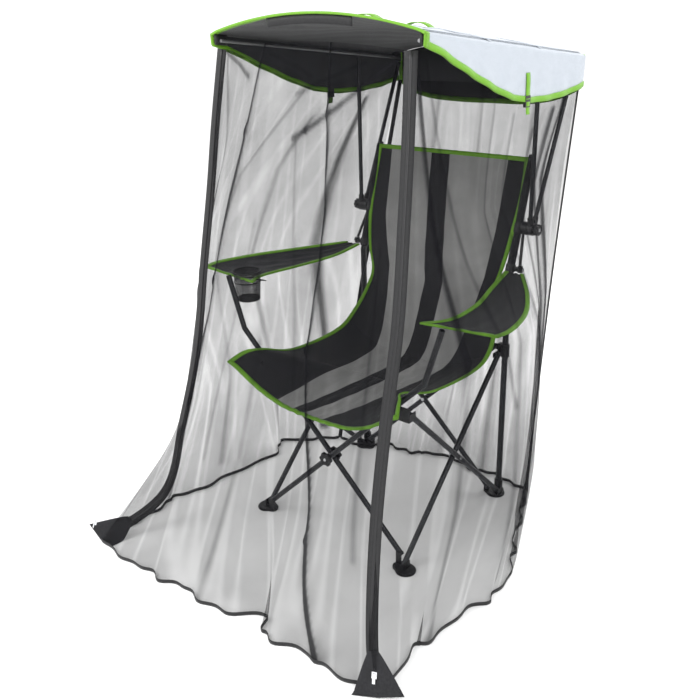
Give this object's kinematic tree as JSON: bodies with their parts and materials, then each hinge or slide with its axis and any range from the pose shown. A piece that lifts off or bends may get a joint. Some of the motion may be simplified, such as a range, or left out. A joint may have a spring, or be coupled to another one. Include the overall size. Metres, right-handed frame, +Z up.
{
  "type": "folding canopy camp chair with insect net",
  "caption": "Folding camp chair with sling seat, arm rests, cup holder, tilting canopy and a floor-length insect net closed by corner zips.",
  "frame": {"origin": "on the ground under the middle of the whole object's box", "axes": "+Z up, -Y the way the sitter faces, +X towards the right of someone looking at the chair's front"},
  "size_m": [1.1238, 1.2828, 1.4658],
  "materials": {
    "steel": "dark grey powder coat, satin",
    "moulding": "black moulded nylon",
    "rivet": "bright plated steel",
    "cloth": "black woven polyester with grey mesh bands and lime binding",
    "canopy_cloth": "white coated polyester, dark grey inside",
    "webbing": "lime green webbing",
    "net_mesh": "fine black insect mesh",
    "net_trim": "black binding and zip tape",
    "zip_metal": "bright zinc",
    "grey_rail": "grey rod"
  },
  "bodies": {
    "rear_left_leg": {"rear_left_foot": "moulding", "left_upright": "steel", "left_upright_cap": "moulding", "left_arm_bracket": "moulding", "left_tilt_mount": "moulding", "back_cloth": "cloth", "low_back_cloth": "cloth"},
    "rear_tube_left": {"rear_left_leg_tube": "steel", "rear_cross_rivet": "rivet"},
    "rear_tube_right": {"rear_right_leg_tube": "steel"},
    "right_slider": {"right_slide_bracket": "moulding"},
    "rear_right_leg": {"rear_right_foot": "moulding", "right_upright": "steel", "right_upright_cap": "moulding", "right_arm_bracket": "moulding", "right_tilt_mount": "moulding"},
    "left_side_tube_b": {"left_side_tube_from_rear": "steel", "left_cross_rivet": "rivet"},
    "left_side_tube_a": {"left_side_tube_from_front": "steel"},
    "left_slider": {"left_slide_bracket": "moulding"},
    "front_left_foot_body": {"front_left_foot": "moulding"},
    "left_corner": {"left_seat_corner": "moulding"},
    "right_side_tube_b": {"right_side_tube_from_rear": "steel", "right_cross_rivet": "rivet"},
    "right_side_tube_a": {"right_side_tube_from_front": "steel"},
    "front_right_foot_body": {"front_right_foot": "moulding"},
    "right_corner": {"right_seat_corner": "moulding"},
    "front_tube_left": {"front_left_leg_tube": "steel", "front_hub": "moulding"},
    "front_tube_right": {"front_right_leg_tube": "steel"},
    "seat_rear": {"seat_rear_cloth": "cloth"},
    "seat_front": {"seat_front_cloth": "cloth"},
    "left_arm": {"left_armrest": "cloth", "cup_holder": "cloth"},
    "right_arm": {"right_armrest": "cloth"},
    "canopy": {"left_tilt_socket": "moulding", "left_front_canopy_arm": "steel", "left_rear_canopy_arm": "steel", "left_roof_rail": "grey_rail", "canopy_roof": "canopy_cloth", "canopy_left_flap": "canopy_cloth", "canopy_right_flap": "canopy_cloth", "canopy_rear_valance": "canopy_cloth", "carry_handles": "webbing", "canopy_straps": "webbing", "strap_buckles": "moulding"},
    "canopy_right_arms": {"right_tilt_socket": "moulding", "right_front_canopy_arm": "steel", "right_rear_canopy_arm": "steel", "right_roof_rail": "grey_rail"},
    "left_knob": {"left_tilt_knob": "moulding"},
    "right_knob": {"right_tilt_knob": "moulding"},
    "net": {"net_front_panel": "net_mesh", "net_left_panel": "net_mesh", "net_right_panel": "net_mesh", "net_rear_panel": "net_mesh", "net_hem": "net_trim", "net_zip_tapes": "net_trim"},
    "zip_left": {"front_left_zip_slider": "zip_metal"},
    "zip_right": {"front_right_zip_slider": "zip_metal"}
  },
  "joints": [
    {"name": "frame_fold", "type": "hinge", "parent": "rear_left_leg", "child": "rear_tube_left", "pos_m": [-0.246, 0.33357, 0.036], "axis": [0, -1, 0], "range_deg": [0, 38], "deforming": ["back_cloth", "low_back_cloth", "seat_rear_cloth", "seat_front_cloth", "left_armrest", "right_armrest", "cup_holder", "canopy_roof", "canopy_left_flap", "canopy_right_flap", "canopy_rear_valance", "carry_handles", "canopy_straps", "strap_buckles", "net_front_panel", "net_left_panel", "net_right_panel", "net_rear_panel", "net_hem", "net_zip_tapes"]},
    {"name": "rear_cross", "type": "hinge", "parent": "rear_tube_left", "child": "rear_tube_right", "pos_m": [0, 0.32457, 0.275], "axis": [0, 1, 0], "range_deg": [0, 76]},
    {"name": "right_slider_pivot", "type": "hinge", "parent": "rear_tube_left", "child": "right_slider", "pos_m": [0.246, 0.33357, 0.514], "axis": [0, 1, 0], "range_deg": [0, 38]},
    {"name": "rear_right_foot_pivot", "type": "hinge", "parent": "rear_tube_right", "child": "rear_right_leg", "pos_m": [0.246, 0.31557, 0.036], "axis": [0, -1, 0], "range_deg": [0, 38]},
    {"name": "rear_left_side_pivot", "type": "hinge", "parent": "rear_left_leg", "child": "left_side_tube_b", "pos_m": [-0.285, 0.32557, 0.018], "axis": [-1, 0, 0], "range_deg": [0, 38]},
    {"name": "left_cross", "type": "hinge", "parent": "left_side_tube_b", "child": "left_side_tube_a", "pos_m": [-0.276, 0.07957, 0.257], "axis": [1, 0, 0], "range_deg": [0, 76]},
    {"name": "left_slider_pivot", "type": "hinge", "parent": "left_side_tube_a", "child": "left_slider", "pos_m": [-0.267, 0.32557, 0.496], "axis": [-1, 0, 0], "range_deg": [0, 38]},
    {"name": "front_left_foot_pivot", "type": "hinge", "parent": "left_side_tube_a", "child": "front_left_foot_body", "pos_m": [-0.267, -0.16643, 0.018], "axis": [-1, 0, 0], "range_deg": [0, 38]},
    {"name": "left_corner_pivot", "type": "hinge", "parent": "left_side_tube_b", "child": "left_corner", "pos_m": [-0.285, -0.16643, 0.496], "axis": [1, 0, 0], "range_deg": [0, 38]},
    {"name": "rear_right_side_pivot", "type": "hinge", "parent": "rear_right_leg", "child": "right_side_tube_b", "pos_m": [0.285, 0.32557, 0.018], "axis": [-1, 0, 0], "range_deg": [0, 38]},
    {"name": "right_cross", "type": "hinge", "parent": "right_side_tube_b", "child": "right_side_tube_a", "pos_m": [0.276, 0.07957, 0.257], "axis": [1, 0, 0], "range_deg": [0, 76]},
    {"name": "front_right_foot_pivot", "type": "hinge", "parent": "right_side_tube_a", "child": "front_right_foot_body", "pos_m": [0.267, -0.16643, 0.018], "axis": [-1, 0, 0], "range_deg": [0, 38]},
    {"name": "right_corner_pivot", "type": "hinge", "parent": "right_side_tube_b", "child": "right_corner", "pos_m": [0.285, -0.16643, 0.496], "axis": [1, 0, 0], "range_deg": [0, 38]},
    {"name": "front_left_tube_pivot", "type": "hinge", "parent": "front_left_foot_body", "child": "front_tube_left", "pos_m": [-0.246, -0.17443, 0.036], "axis": [0, -1, 0], "range_deg": [0, 38]},
    {"name": "front_right_tube_pivot", "type": "hinge", "parent": "front_right_foot_body", "child": "front_tube_right", "pos_m": [0.246, -0.15643, 0.036], "axis": [0, 1, 0], "range_deg": [0, 38]},
    {"name": "seat_rear_fold", "type": "hinge", "parent": "rear_left_leg", "child": "seat_rear", "pos_m": [-0.262, 0.24957, 0.455], "axis": [1, 0, 0], "range_deg": [0, 70.2]},
    {"name": "seat_front_fold", "type": "hinge", "parent": "left_corner", "child": "seat_front", "pos_m": [-0.262, -0.23243, 0.44], "axis": [-1, 0, 0], "range_deg": [0, 85.2]},
    {"name": "left_arm_fold", "type": "hinge", "parent": "rear_left_leg", "child": "left_arm", "pos_m": [-0.302, 0.32957, 0.756], "axis": [-0.8977, 0.159, 0.4109], "range_deg": [0, 75.4]},
    {"name": "right_arm_fold", "type": "hinge", "parent": "rear_right_leg", "child": "right_arm", "pos_m": [0.302, 0.32957, 0.756], "axis": [-0.8977, -0.159, -0.4109], "range_deg": [0, 75.4]},
    {"name": "canopy_tilt", "type": "hinge", "parent": "rear_left_leg", "child": "canopy", "pos_m": [-0.314, 0.40206, 0.879], "axis": [-1, 0, 0], "range_deg": [0, 8]},
    {"name": "canopy_tilt_right", "type": "hinge", "parent": "rear_right_leg", "child": "canopy_right_arms", "pos_m": [0.314, 0.40206, 0.879], "axis": [-1, 0, 0], "range_deg": [0, 8]},
    {"name": "net_hang", "type": "hinge", "parent": "canopy", "child": "net", "pos_m": [0, -0.17843, 1.404], "axis": [1, 0, 0], "range_deg": [0, 8]},
    {"name": "left_knob_turn", "type": "hinge", "parent": "rear_left_leg", "child": "left_knob", "pos_m": [-0.335, 0.40206, 0.879], "axis": [-1, 0, 0], "range_deg": [0, 180]},
    {"name": "right_knob_turn", "type": "hinge", "parent": "rear_right_leg", "child": "right_knob", "pos_m": [0.335, 0.40206, 0.879], "axis": [1, 0, 0], "range_deg": [0, 180]},
    {"name": "left_zip_run", "type": "slide", "parent": "net", "child": "zip_left", "axis": [0.1533, 0.3059, 0.9397], "range_m": [0, 1.15]},
    {"name": "right_zip_run", "type": "slide", "parent": "net", "child": "zip_right", "axis": [-0.1169, 0.2927, 0.949], "range_m": [0, 1.15]}
  ],
  "couplings": [
    {"joint": "rear_cross", "follows": "frame_fold", "ratio": 2},
    {"joint": "right_slider_pivot", "follows": "frame_fold", "ratio": 1},
    {"joint": "rear_right_foot_pivot", "follows": "frame_fold", "ratio": 1},
    {"joint": "rear_left_side_pivot", "follows": "frame_fold", "ratio": 1},
    {"joint": "left_cross", "follows": "frame_fold", "ratio": 2},
    {"joint": "left_slider_pivot", "follows": "frame_fold", "ratio": 1},
    {"joint": "front_left_foot_pivot", "follows": "frame_fold", "ratio": 1},
    {"joint": "left_corner_pivot", "follows": "frame_fold", "ratio": 1},
    {"joint": "rear_right_side_pivot", "follows": "frame_fold", "ratio": 1},
    {"joint": "right_cross", "follows": "frame_fold", "ratio": 2},
    {"joint": "front_right_foot_pivot", "follows": "frame_fold", "ratio": 1},
    {"joint": "right_corner_pivot", "follows": "frame_fold", "ratio": 1},
    {"joint": "front_left_tube_pivot", "follows": "frame_fold", "ratio": 1},
    {"joint": "front_right_tube_pivot", "follows": "frame_fold", "ratio": 1},
    {"joint": "seat_rear_fold", "follows": "frame_fold", "ratio": 1.8395},
    {"joint": "seat_front_fold", "follows": "frame_fold", "ratio": 2.2316},
    {"joint": "left_arm_fold", "follows": "frame_fold", "ratio": 1.9711},
    {"joint": "right_arm_fold", "follows": "frame_fold", "ratio": 1.9711},
    {"joint": "canopy_tilt_right", "follows": "canopy_tilt", "ratio": 1},
    {"joint": "net_hang", "follows": "canopy_tilt", "ratio": 1}
  ]
}
